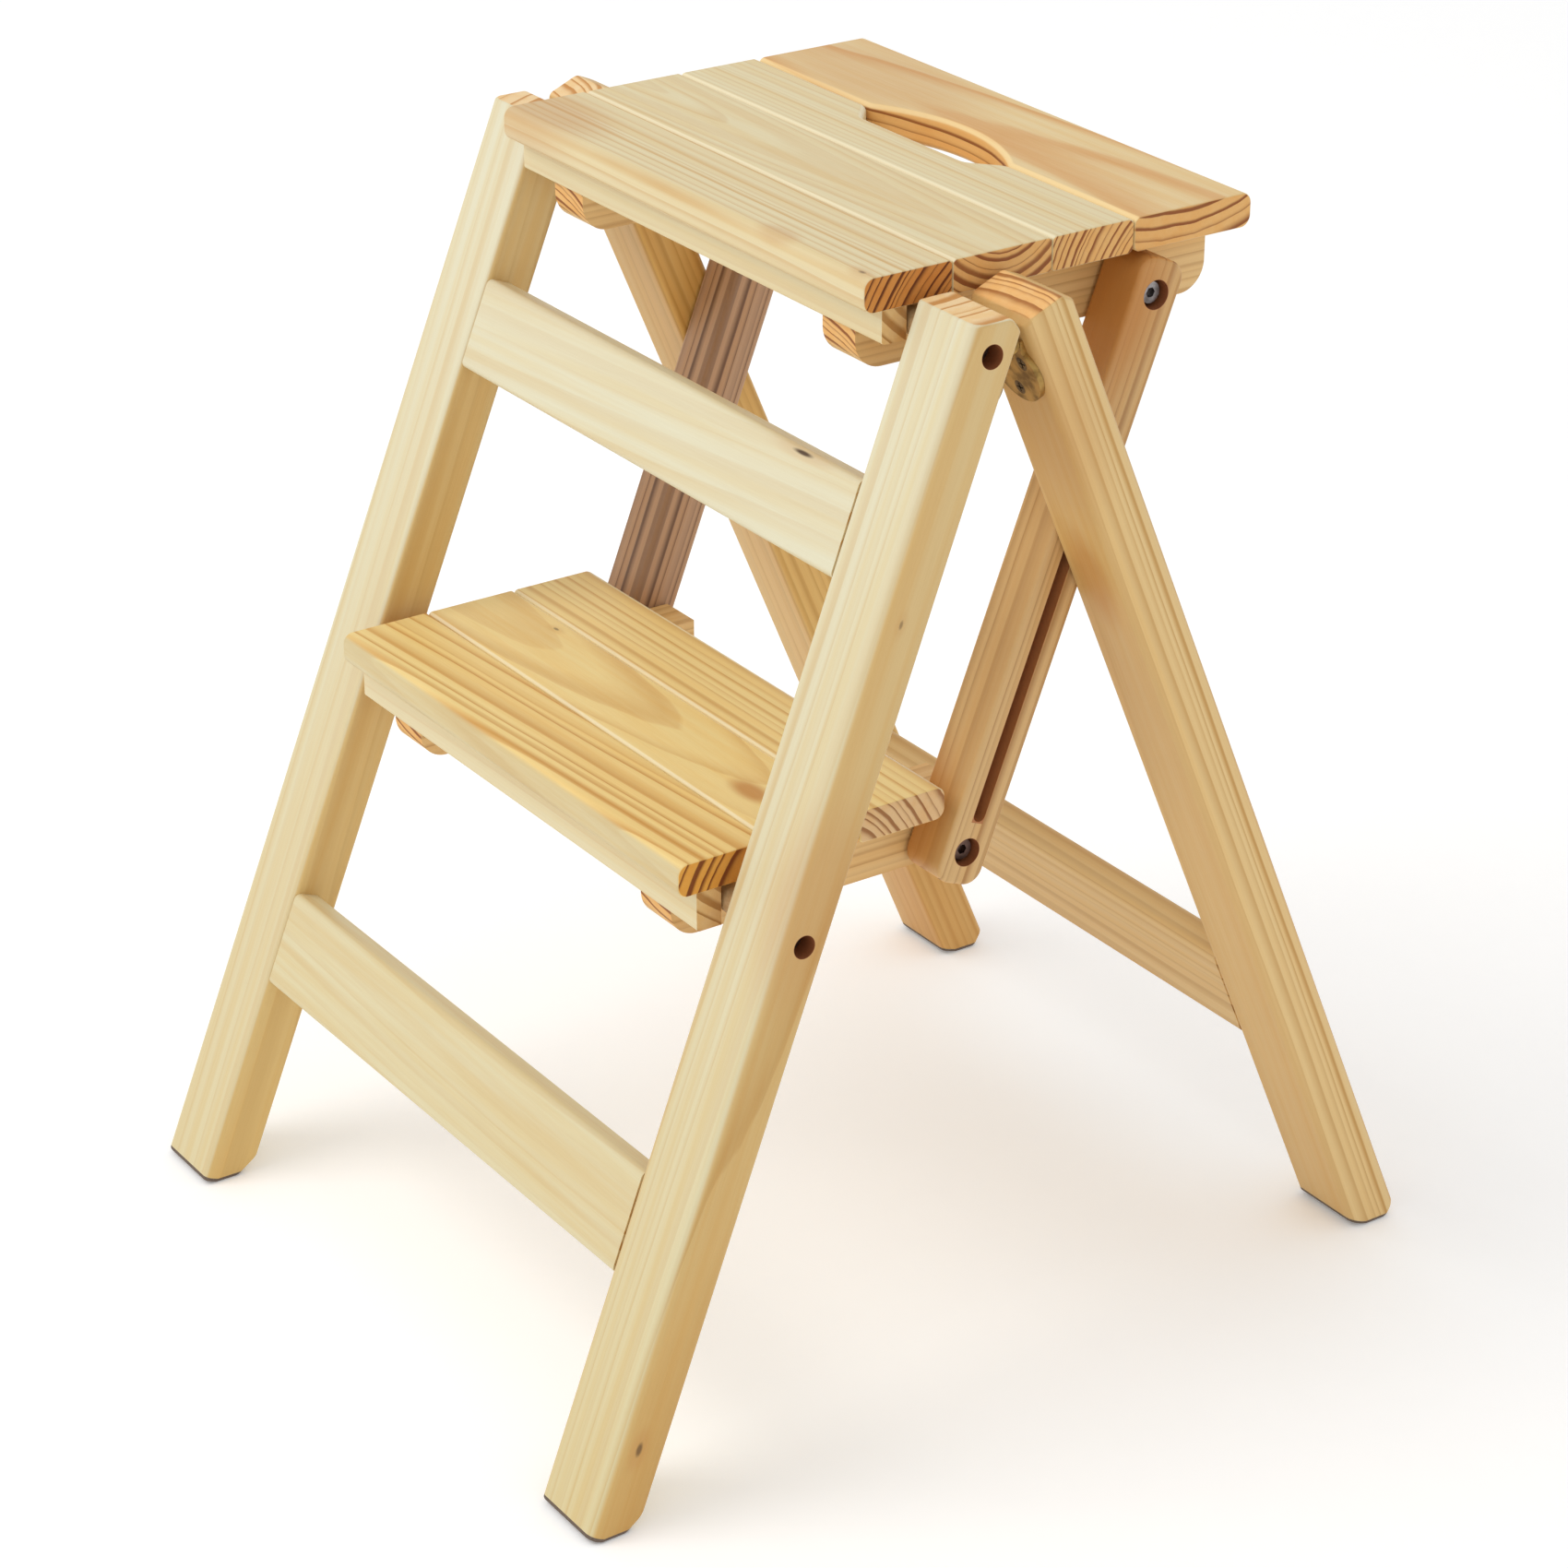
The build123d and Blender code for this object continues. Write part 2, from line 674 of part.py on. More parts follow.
# Screws that hold the slats, driven up through the cleats
def upright(place, radius, low, high):
    return Pos(cleat_middle, place, (low + high) / 2) * Cylinder(radius, high - low)


def clear_of_bolts(place, bolts):
    """A screw's place, moved to the rear of a bolt that it would come too near to."""
    for centre in bolts:
        if abs(place - centre.y) < screw_bolt_distance:
            return centre.y + screw_bolt_distance
    return place


def slat_screw(place, slat_under):
    head_top = slat_under - cleat_height + slat_screw_bore_depth
    head = upright(place, slat_screw_head_radius, head_top - slat_screw_head_height, head_top)
    return head + upright(place, slat_screw_radius, head_top, slat_under + slat_screw_bite)


def slat_screw_hole(place, slat_under):
    bottom = slat_under - cleat_height
    bore = upright(place, slat_screw_bore_radius, bottom, bottom + slat_screw_bore_depth)
    return bore + upright(place, slat_screw_radius, bottom, slat_under + slat_screw_bite)


def build_tread(kind, names, widths, gaps, length, apron_height, tail, handle_joint_index=None):
    """One tread with its slats, cleats, apron, screws and link bolts."""
    pivot = leg_pivots[kind][0]
    link_pivot = link_pivots[kind]
    under = pivot.z + pivot_below_slat
    slats, starts = tread(names, pivot.y - nose_reach, widths, gaps, under, length, handle_joint_index)
    if handle_joint_index is not None:
        joint = starts[names[handle_joint_index + 1]] - gaps[handle_joint_index] / 2
        hole = handle_hole(joint, under)
        for name in names[handle_joint_index:handle_joint_index + 2]:
            slats[name] = with_handle(slats[name], hole, joint)
    for name in names:
        slats[name] = eased_ends(slats[name])
    parts.update(slats)
    screw_places = []
    for name, width in zip(names, widths):
        screw_places.append(clear_of_bolts(starts[name] + width / 2, (pivot, link_pivot)))
    screws = []
    for name, place in zip(names, screw_places):
        pair = both_sides(slat_screw(place, under))
        for screw in pair:
            parts[name] -= screw
        screws += pair
    right_cleat = cleat(pivot, link_pivot, tail, apron_height, screw_places)
    parts[kind + "_cleat_right"] = right_cleat
    parts[kind + "_cleat_left"] = right_cleat.mirror(Plane.YZ)
    parts[kind + "_apron"] = apron(pivot, apron_height, length)
    group(kind + "_slat_screws", screws)
    group(kind + "_link_bolts", both_sides(bolt(link_pivot, link_bolt_seat + face_gap, link_bolt_end)))
    group(kind + "_link_nuts", both_sides(nut(link_pivot, cleat_inner)))
    washer = ring(link_pivot, washer_radius, bolt_radius, cleat_outer, cleat_outer + washer_thickness)
    group(kind + "_link_washers", both_sides(washer))


# Links: bars with rounded corners, a guide groove in the outer face and a counterbored hole at each end
def along_link(distance):
    """Side-view point on the link's middle line, from its lower pivot upwards."""
    return step_link_pivot.moved(distance * front_up.y, distance * front_up.z)


def link():
    length = link_length + 2 * link_end_distance
    middle = along_link(link_length / 2)
    bar_place = Pos(middle.y, middle.z) * Rot(0, 0, leg_angle)
    profile = bar_place * RectangleRounded(length, link_depth, link_end_radius)
    solid = across(profile, link_inner, link_outer)
    rims = solid.faces().sort_by(Axis.X)[-1].edges() + solid.faces().sort_by(Axis.X)[0].edges()
    solid = fillet(rims, link_edge_radius)
    groove_top = pin_on_link + groove_upper_spare + groove_width / 2
    groove_bottom = folded_pin_on_link - groove_lower_spare - groove_width / 2
    groove_middle = along_link((groove_top + groove_bottom) / 2)
    groove_place = Pos(groove_middle.y, groove_middle.z) * Rot(0, 0, leg_angle)
    groove = groove_place * SlotOverall(groove_top - groove_bottom, groove_width)
    solid -= across(groove, link_outer - groove_depth, link_outer)
    for pivot in link_pivots.values():
        solid -= rod(pivot, bolt_radius + run_fit, link_inner, link_outer)
        solid -= rod(pivot, link_counterbore_radius, link_bolt_seat, link_outer)
    return solid


# Front frame
right_front_leg, front_pad = front_leg()
parts["front_leg_right"] = right_front_leg
parts["front_leg_left"] = right_front_leg.mirror(Plane.YZ)
parts["upper_front_rail"] = rail(front_plane, front_inner, upper_rail_bottom, upper_rail_height, upper_dowels)
parts["lower_front_rail"] = rail(front_plane, front_inner, lower_rail_bottom, lower_rail_height, lower_dowels)
group("front_rail_dowels", upper_dowels + lower_dowels)
group("front_foot_pads", both_sides(front_pad))
for kind, (centre, along) in leg_pivots.items():
    group(kind + "_pivot_bolts", both_sides(bolt(centre, leg_bolt_seat(along), leg_bolt_end)))
    group(kind + "_pivot_nuts", both_sides(nut(centre, leg_nut_face)))
    spacer_end = front_inner(along) + leg_inner_radius
    spacer = ring(centre, spacer_radius, bolt_radius, cleat_outer + face_gap, spacer_end)
    group(kind + "_pivot_spacers", both_sides(spacer - right_front_leg))
group("hinge_front_leaves", both_sides(front_leaf))
group("hinge_pins", both_sides(hinge_pin))
front_screws = hinge_screws(front_plane, hinge_place, front_leaf_face, -1, True)
group("hinge_front_screws", [solid for screw in front_screws for solid in both_sides(screw)])

# Seat, with the finger hole over its last joint
seat_names = ("seat_slat_front", "seat_slat_second", "seat_slat_third", "seat_slat_rear")
build_tread("seat", seat_names, seat_slat_widths, seat_slat_gaps, seat_slat_length,
            seat_apron_height, seat_cleat_tail, handle_joint_index=2)

# Lower step
step_names = ("step_slat_front", "step_slat_middle", "step_slat_rear")
build_tread("step", step_names, step_slat_widths, step_slat_gaps, step_slat_length,
            step_apron_height, step_cleat_tail)

# Links and the guide pins that run in their grooves
right_link = link()
parts["link_right"] = right_link
parts["link_left"] = right_link.mirror(Plane.YZ)
pin_start = link_outer - groove_depth + face_gap
pin_end = rear_gap / 2 - face_gap
group("guide_pins", both_sides(rod(guide_pin, groove_width / 2 - run_fit, pin_start, pin_end)))

# Rear frame
right_rear_leg, rear_pad = rear_leg()
parts["rear_leg_right"] = right_rear_leg
parts["rear_leg_left"] = right_rear_leg.mirror(Plane.YZ)
parts["rear_rail"] = rail(rear_plane, rear_inner, rear_rail_bottom, rear_rail_height, rear_dowels)
group("rear_rail_dowels", rear_dowels)
group("rear_foot_pads", both_sides(rear_pad))
group("hinge_rear_leaves", both_sides(rear_leaf))
rear_screws = hinge_screws(rear_plane, rear_hinge_place, -hinge_leaf_thickness, 1, True)
group("hinge_rear_screws", [solid for screw in rear_screws for solid in both_sides(screw)])

os.makedirs("parts", exist_ok=True)
for name, solid in parts.items():
    export_step(solid, os.path.join("parts", name + ".step"))

places = {
    "seat pivot": seat_pivot,
    "seat link pivot": seat_link_pivot,
    "step pivot": step_pivot,
    "step link pivot": step_link_pivot,
    "hinge axis": hinge_axis,
    "guide pin": guide_pin,
}
for label, point in places.items():
    print(f"{label}: y {point.y:.4f} z {point.z:.4f}")
print(f"seat fold {seat_fold:.4f} deg, rear fold {rear_fold:.4f} deg, pin travel {pin_travel:.4f} mm")
for label, pivot in (("seat", seat_pivot), ("step", step_pivot)):
    top = pivot.z + pivot_below_slat + slat_thickness
    print(f"{label} top {top:.4f}, front edge y {pivot.y - nose_reach:.4f}")
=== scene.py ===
import json
import math

import bpy
from mathutils import Euler, Matrix, Vector


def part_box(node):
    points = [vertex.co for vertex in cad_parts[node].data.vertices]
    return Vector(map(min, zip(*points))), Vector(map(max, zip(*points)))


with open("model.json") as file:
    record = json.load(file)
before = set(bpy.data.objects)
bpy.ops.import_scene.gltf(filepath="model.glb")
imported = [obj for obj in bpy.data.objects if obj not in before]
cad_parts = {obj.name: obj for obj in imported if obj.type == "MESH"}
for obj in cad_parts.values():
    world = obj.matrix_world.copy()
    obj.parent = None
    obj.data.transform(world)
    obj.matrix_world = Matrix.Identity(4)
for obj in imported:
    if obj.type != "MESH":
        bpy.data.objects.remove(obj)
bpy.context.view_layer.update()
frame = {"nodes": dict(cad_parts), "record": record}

# Looks of a folding pine step stool: procedural wood with rings around a pith line, end grain and fibres,
# zinc-plated steel, aged brass, rubber pads, a pale floor and soft studio light.

FRONT_LEAN = math.radians(21.5)
REAR_LEAN = math.radians(23.0)
MM = 0.001
ACROSS = (1.0, 0.0, 0.0)
FORWARD = (0.0, 1.0, 0.0)
UP = (0.0, 0.0, 1.0)

# Camera, fitted to the photograph
CAMERA_PLACE = (1.4365, -0.9731, 1.0606)
CAMERA_TURN = (63.95, 0.0, 55.81)
CAMERA_LENS = 98.05
SENSOR_WIDTH = 36.0
VIEW_REACH = 300.0               # metres

# Floor and light
FLOOR_REACH = 80.0               # metres
FLOOR_GLOW = 0.14
FLOOR_SPECKS = ((0.95, 0.95, 0.95), (0.97, 0.97, 0.97))
FLOOR_SCALE = 60.0
FLOOR_ROUGHNESS = 0.9
FLOOR_SPECULAR = 0.1
SKY_STRENGTH = 0.8
KEY_PLACE = (-0.9, -2.2, 2.9)
KEY_TARGET = (0.0, 0.0, 0.25)
KEY_SIZE = 2.4
KEY_POWER = 40.0
KEY_COLOUR = (1.0, 0.985, 0.95)

# Wood colours, as pairs of linear values for early and late wood
PALE = ((0.75, 0.665, 0.425), (0.60, 0.37, 0.13))
FRONT = ((0.74, 0.715, 0.54), (0.61, 0.42, 0.17))
GOLD = ((0.90, 0.735, 0.35), (0.60, 0.30, 0.055))
REAR_SLAT = ((0.775, 0.62, 0.34), (0.66, 0.35, 0.11))
LEG_SIDE = ((0.71, 0.53, 0.255), (0.52, 0.30, 0.08))
LEFT_SIDE = ((0.75, 0.59, 0.29), (0.56, 0.36, 0.12))
REAR_FRONT = ((0.70, 0.48, 0.205), (0.52, 0.30, 0.09))
REAR_SIDE = ((0.79, 0.58, 0.275), (0.54, 0.30, 0.08))
# A more orange side palette, for the left rear leg
ORANGE_SIDE = ((0.78, 0.53, 0.19), (0.50, 0.26, 0.05))
NOSE = ((0.69, 0.62, 0.40), (0.53, 0.36, 0.15))
RAIL = ((0.70, 0.50, 0.235), (0.45, 0.24, 0.075))
WARM = ((0.80, 0.56, 0.26), (0.47, 0.25, 0.08))
LINK = ((0.69, 0.455, 0.205), (0.37, 0.18, 0.055))
# The left link's palette is the links' pine darkened as painted shade
SHADED_LINK = ((0.54, 0.34, 0.21), (0.16, 0.085, 0.05))
DOWEL = ((0.62, 0.40, 0.20), (0.50, 0.30, 0.13))

# End grain
SLAT_END = ((0.80, 0.47, 0.17), (0.29, 0.095, 0.021))
STEP_END = ((0.80, 0.42, 0.085), (0.22, 0.065, 0.012))
SOFT_END = ((0.74, 0.50, 0.26), (0.34, 0.15, 0.05))
DARK_END = ((0.64, 0.27, 0.060), (0.14, 0.036, 0.006))
LEG_END = ((0.86, 0.64, 0.36), (0.58, 0.28, 0.08))
REAR_LEG_END = ((0.88, 0.53, 0.21), (0.42, 0.17, 0.04))

# Painted shade in bolt holes and grooves, painted highlights on eased edges, and knots with their halos,
# which also serve as spots of painted shade
BORE_SHADE = (0.30, 0.10, 0.035)
GROOVE_SHADE = (0.40, 0.14, 0.045)
EDGE_HIGHLIGHT = (0.90, 0.82, 0.60)
REAR_EDGE_HIGHLIGHT = (0.97, 0.72, 0.35)
KNOT = (0.055, 0.020, 0.004)
KNOT_HALO_AND_SHADE = (0.52, 0.22, 0.050)

# Shades that multiply the wood's colour: warm patches, streaks, fibres, and a darker, yellower tint towards
# the floor
WARM_SHADE = (0.96, 0.84, 0.70)
STREAK_SHADE = (0.97, 0.84, 0.62)
FIBRE_SHADE = (0.78, 0.70, 0.60)
LOW_TINT = (0.93, 0.83, 0.62)
FIBRE_SHARE = 0.16
EDGE_HIGHLIGHT_SHARE = 0.6
LOW_TINT_FROM = 0.45               # height in metres

# Noise per metre, along the grain and across it
SLOW_SCALE = (2.6, 14.0, 14.0)
RIPPLE_SCALE = (9.0, 90.0, 90.0)
FIBRE_SCALE = (14.0, 1500.0, 1500.0)
STREAK_SCALE = (2.2, 170.0, 170.0)
TONE_SCALE = (3.0, 22.0, 22.0)
RIPPLE_SIZE = 0.0016             # metres
FIBRE_NOISE_ROUGHNESS = 0.6

# Rings: how much the years' widths and strengths vary, and place and darkness of the stops in one year
UNEVEN_YEARS = 2.6
UNEVEN_SCALE = 0.45
STRENGTH_SCALE = 0.9
WEAKEST_YEAR = 0.45
RING_STOPS = ((0.0, 0.12), (0.38, 0.05), (0.72, 0.55), (0.9, 1.0), (0.97, 0.85), (1.0, 0.12))

# Each node's noise is moved by a seed from the letters of its name
SEED_STEPS = (0.137, 0.071, 0.053)
SEED_SPANS = (7, 5, 3)

# Where a pattern fades in: the values that give no share and a full one
STRENGTH_FADE = (0.3, 0.7)
TONE_FADE = (0.3, 0.7)
STREAK_FADE = (0.35, 0.7)
FIBRE_FADE = (0.25, 0.75)
END_RING_FADE = (0.1, 0.7)
HOLLOW_FADE = (1.05, 0.95)       # shares of the hollow's radii

# The same for how far a face turns towards an axis
SIDE_FADE = (0.55, 0.9)
END_FADE = (0.72, 0.94)
WALL_FADE = (0.7, 0.3)
TIPPED_FADE = (0.1, 0.4)
UPRIGHT_FADE = (0.95, 0.8)
UPWARD_FADE = (0.2, 0.5)

# Finish of the wood: roughness and what fibres and cut ends add to it, relief, and a thin clear coat
WOOD_ROUGHNESS = 0.44
FIBRE_ROUGHNESS = 0.16
END_ROUGHNESS = 0.15
RING_RELIEF = 0.6
FIBRE_RELIEF = 0.5
WOOD_BUMP = (0.2, 0.0004)        # strength, and depth in metres
WOOD_SPECULAR = 0.32
COAT_WEIGHT = 0.06
COAT_ROUGHNESS = 0.35

# Metal, rubber and nylon
TARNISH_SCALE = 140.0
TARNISH_FADE = (0.38, 0.68)
TARNISH_SHARE = 0.75
TARNISH_ROUGHNESS = 0.18
SCRATCH_SCALE = (2600.0, 900.0)  # per metre along Y and Z
SCRATCH_ROUGHNESS = 0.12
METAL_BUMP = (0.15, 0.0001)      # strength, and depth in metres
PATCH_DETAIL = 4.0
FLECK_NOISE_ROUGHNESS = 0.7
FLECK_FADE = (0.4, 0.65)
FLECK_ROUGHNESS = 0.2
FLECK_BUMP = 0.4

# Bolt holes and the links' grooves, in millimetres, and the share of painted shade in a groove
LEG_HOLE = 5.1
LINK_HOLE = 6.4
GROOVE_HALF_WIDTH = 3.0
GROOVE_ENDS = (-135.5, 3.5)      # along the link, from the guide pin
GROOVE_FLOOR = 129.5             # out from the stool's middle
GROOVE_SHADE_SHARE = 0.9
BORE_SHADE_MARGINS = (0.2, 0.05)       # painted shade fades in over these distances from its edge
GROOVE_SHADE_MARGINS = (0.25, 0.05)
GROOVE_SHADE_FLOOR_MARGINS = (1.0, 0.5)

# Knots reach from the dark core out to a halo, as shares of the radius; a spot of painted shade is a halo
# alone
KNOT_CORE = 0.35
HALO_AND_SHADE_REACH = 3.2

SHARP_ANGLE = math.radians(32)


# Node helpers
class Tree:
    """Short calls for adding and linking nodes in one tree."""

    def __init__(self, tree):
        self.tree = tree

    def add(self, kind, **settings):
        node = self.tree.nodes.new(kind)
        for key, value in settings.items():
            setattr(node, key, value)
        return node

    def link(self, source, target):
        self.tree.links.new(source, target)

    def feed(self, socket, value):
        """Links a socket's output into an input, or sets a plain value on it."""
        if isinstance(value, bpy.types.NodeSocket):
            self.link(value, socket)
        else:
            socket.default_value = value

    def math(self, operation, first, second=0.0, third=0.0, clamp=False):
        node = self.add("ShaderNodeMath", operation=operation, use_clamp=clamp)
        for socket, value in zip(node.inputs, (first, second, third)):
            self.feed(socket, value)
        return node.outputs[0]

    def vector(self, operation, first, second=(0.0, 0.0, 0.0)):
        node = self.add("ShaderNodeVectorMath", operation=operation)
        self.feed(node.inputs[0], first)
        if operation == "SCALE":
            self.feed(node.inputs["Scale"], second)
        else:
            self.feed(node.inputs[1], second)
        return node.outputs["Value" if operation in ("LENGTH", "DOT_PRODUCT") else "Vector"]

    def noise(self, vector, scale, detail=2.0, roughness=0.5):
        node = self.add("ShaderNodeTexNoise")
        self.feed(node.inputs["Vector"], vector)
        node.inputs["Scale"].default_value = scale
        node.inputs["Detail"].default_value = detail
        node.inputs["Roughness"].default_value = roughness
        return node

    def range(self, value, low, high, out_low=0.0, out_high=1.0, smooth=True):
        node = self.add("ShaderNodeMapRange", interpolation_type="SMOOTHSTEP" if smooth else "LINEAR")
        self.feed(node.inputs["Value"], value)
        numbers = {"From Min": low, "From Max": high, "To Min": out_low, "To Max": out_high}
        for name, number in numbers.items():
            node.inputs[name].default_value = number
        return node.outputs["Result"]

    def mix(self, factor, first, second, blend="MIX"):
        node = self.add("ShaderNodeMix", data_type="RGBA", blend_type=blend)
        self.feed(node.inputs["Factor"], factor)
        for socket, value in ((node.inputs[6], first), (node.inputs[7], second)):
            self.feed(socket, value if isinstance(value, bpy.types.NodeSocket) else (*value, 1.0))
        return node.outputs[2]

    def shade(self, share, colour, shade):
        """Multiplies a share of the colour by a shade."""
        return self.mix(share, colour, self.mix(1.0, colour, shade, "MULTIPLY"))

    def ramp(self, value, stops):
        node = self.add("ShaderNodeValToRGB")
        elements = node.color_ramp.elements
        while len(elements) < len(stops):
            elements.new(0.5)
        for element, (place, level) in zip(elements, stops):
            element.position = place
            element.color = (level, level, level, 1.0)
        self.feed(node.inputs["Fac"], value)
        return node.outputs["Color"]

    def bump(self, shader, height, strength, distance):
        node = self.add("ShaderNodeBump")
        node.inputs["Strength"].default_value = strength
        node.inputs["Distance"].default_value = distance
        self.link(height, node.inputs["Height"])
        self.link(node.outputs["Normal"], shader.inputs["Normal"])


def make_grain_group():
    """Ring pattern of sawn pine. The vector is in metres, the grain along X and the pith on the X axis."""
    group = bpy.data.node_groups.new("pine_grain", "ShaderNodeTree")
    inputs = {"Vector": "NodeSocketVector", "Seed": "NodeSocketVector", "Spacing": "NodeSocketFloat",
              "Wander": "NodeSocketFloat"}
    for name, kind in inputs.items():
        group.interface.new_socket(name, in_out="INPUT", socket_type=kind)
    for name in ("Late", "Fibre", "Streak", "Tone"):
        group.interface.new_socket(name, in_out="OUTPUT", socket_type="NodeSocketFloat")
    tree = Tree(group)
    given = tree.add("NodeGroupInput").outputs
    out = tree.add("NodeGroupOutput").inputs
    seeded = tree.vector("ADD", given["Vector"], given["Seed"])

    def grained(scale, detail=2.0, roughness=0.5):
        return tree.noise(tree.vector("MULTIPLY", seeded, scale), 1.0, detail, roughness)

    def shift(noise, size):
        centred = tree.vector("SUBTRACT", noise.outputs["Color"], (0.5, 0.5, 0.5))
        return tree.vector("SCALE", centred, size)

    slow_shift = shift(grained(SLOW_SCALE, 1.0), given["Wander"])
    ripple_shift = shift(grained(RIPPLE_SCALE), RIPPLE_SIZE)
    moved = tree.vector("ADD", tree.vector("ADD", given["Vector"], slow_shift), ripple_shift)
    radius = tree.vector("LENGTH", tree.vector("MULTIPLY", moved, (0.0, 1.0, 1.0)))
    rings = tree.math("DIVIDE", radius, given["Spacing"])
    years = tree.add("ShaderNodeCombineXYZ")
    tree.link(rings, years.inputs[0])
    uneven = tree.noise(years.outputs[0], UNEVEN_SCALE, 1.0).outputs["Fac"]
    phase = tree.math("FRACT", tree.math("MULTIPLY_ADD", uneven, UNEVEN_YEARS, rings))
    late = tree.ramp(phase, RING_STOPS)
    changing = tree.noise(years.outputs[0], STRENGTH_SCALE, 0.0).outputs["Fac"]
    strength = tree.range(changing, *STRENGTH_FADE, WEAKEST_YEAR, 1.0)
    tree.link(tree.math("MULTIPLY", late, strength), out["Late"])
    tree.link(grained(FIBRE_SCALE, roughness=FIBRE_NOISE_ROUGHNESS).outputs["Fac"], out["Fibre"])
    tree.link(grained(STREAK_SCALE).outputs["Fac"], out["Streak"])
    tree.link(grained(TONE_SCALE).outputs["Fac"], out["Tone"])
    return group


grain_group = make_grain_group()


def grain_frame(axis):
    """Rotation that takes X to the grain's direction."""
    if axis == "x":
        return Euler((0.0, 0.0, 0.0))
    if axis == "y":
        return Euler((0.0, 0.0, math.radians(90)))
    across = Vector(ACROSS)
    lean = FRONT_LEAN if axis == "front" else -REAR_LEAN
    along = Vector((0.0, math.sin(lean), math.cos(lean)))
    third = along.cross(across)
    return Matrix((along, across, third)).transposed().to_euler()


def middle(node):
    low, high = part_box(node)
    return (Vector(low) + Vector(high)) / 2


def paint(node, material):
    mesh = frame["nodes"][node].data
    mesh.materials.clear()
    mesh.materials.append(material)


def new_material(name):
    material = bpy.data.materials.new(name)
    material.use_nodes = True
    return material, Tree(material.node_tree), material.node_tree.nodes["Principled BSDF"]


def knot_or_shade_spot(point, radius, dark, orange, stretch=2.2):
    """A knot, stain or spot of painted shade around a point in metres: its radius across the grain in
    millimetres, how dark its core and how orange its rim is, and how many times longer it is along the grain."""
    return point, radius, dark, orange, stretch


def with_knots_and_shade_spots(tree, place, turn, colour, knots_and_shade_spots):
    for point, radius, dark, orange, stretch in knots_and_shade_spots:
        squeezed = tree.add("ShaderNodeMapping", vector_type="TEXTURE")
        squeezed.inputs["Rotation"].default_value = turn
        squeezed.inputs["Scale"].default_value = (stretch, 1.0, 1.0)
        tree.link(tree.vector("SUBTRACT", place, point), squeezed.inputs["Vector"])
        reach = tree.vector("LENGTH", squeezed.outputs["Vector"])
        halo = tree.range(reach, HALO_AND_SHADE_REACH * radius * MM, radius * MM, 0.0, orange)
        core = tree.range(reach, radius * MM, KNOT_CORE * radius * MM, 0.0, dark)
        colour = tree.mix(halo, colour, KNOT_HALO_AND_SHADE)
        colour = tree.mix(core, colour, KNOT)
    return colour


def with_bore_shade(tree, place, colour, bolts, radius):
    """Bolt holes along X, painted dark inside as shade, around the middles of the named bolts."""
    outer, inner = BORE_SHADE_MARGINS
    for node in bolts:
        away = tree.vector("SUBTRACT", place, middle(node))
        reach = tree.vector("LENGTH", tree.vector("MULTIPLY", away, (0.0, 1.0, 1.0)))
        inside = tree.range(reach, (radius + outer) * MM, (radius + inner) * MM)
        colour = tree.mix(inside, colour, BORE_SHADE)
    return colour


def with_groove_shade(tree, place, colour):
    """The guide groove in a link's outer face, painted dark inside as shade."""
    along = Vector((0.0, math.sin(FRONT_LEAN), math.cos(FRONT_LEAN)))
    across = Vector((0.0, math.cos(FRONT_LEAN), -math.sin(FRONT_LEAN)))
    away = tree.vector("SUBTRACT", place, middle("guide_pins"))
    side = tree.math("ABSOLUTE", tree.vector("DOT_PRODUCT", away, across))
    length = tree.vector("DOT_PRODUCT", away, along)
    out = tree.math("ABSOLUTE", tree.vector("DOT_PRODUCT", place, ACROSS))
    outer, inner = GROOVE_SHADE_MARGINS
    inside = tree.range(side, (GROOVE_HALF_WIDTH + outer) * MM, (GROOVE_HALF_WIDTH + inner) * MM)
    low, high = GROOVE_ENDS
    above = tree.range(length, (low - outer) * MM, low * MM)
    below = tree.range(length, (high + outer) * MM, high * MM)
    none_at, full_at = GROOVE_SHADE_FLOOR_MARGINS
    deep = tree.range(out, (GROOVE_FLOOR - none_at) * MM, (GROOVE_FLOOR - full_at) * MM)
    share = tree.math("MULTIPLY", tree.math("MULTIPLY", inside, deep), tree.math("MULTIPLY", above, below))
    return tree.mix(tree.math("MULTIPLY", share, GROOVE_SHADE_SHARE), colour, GROOVE_SHADE)


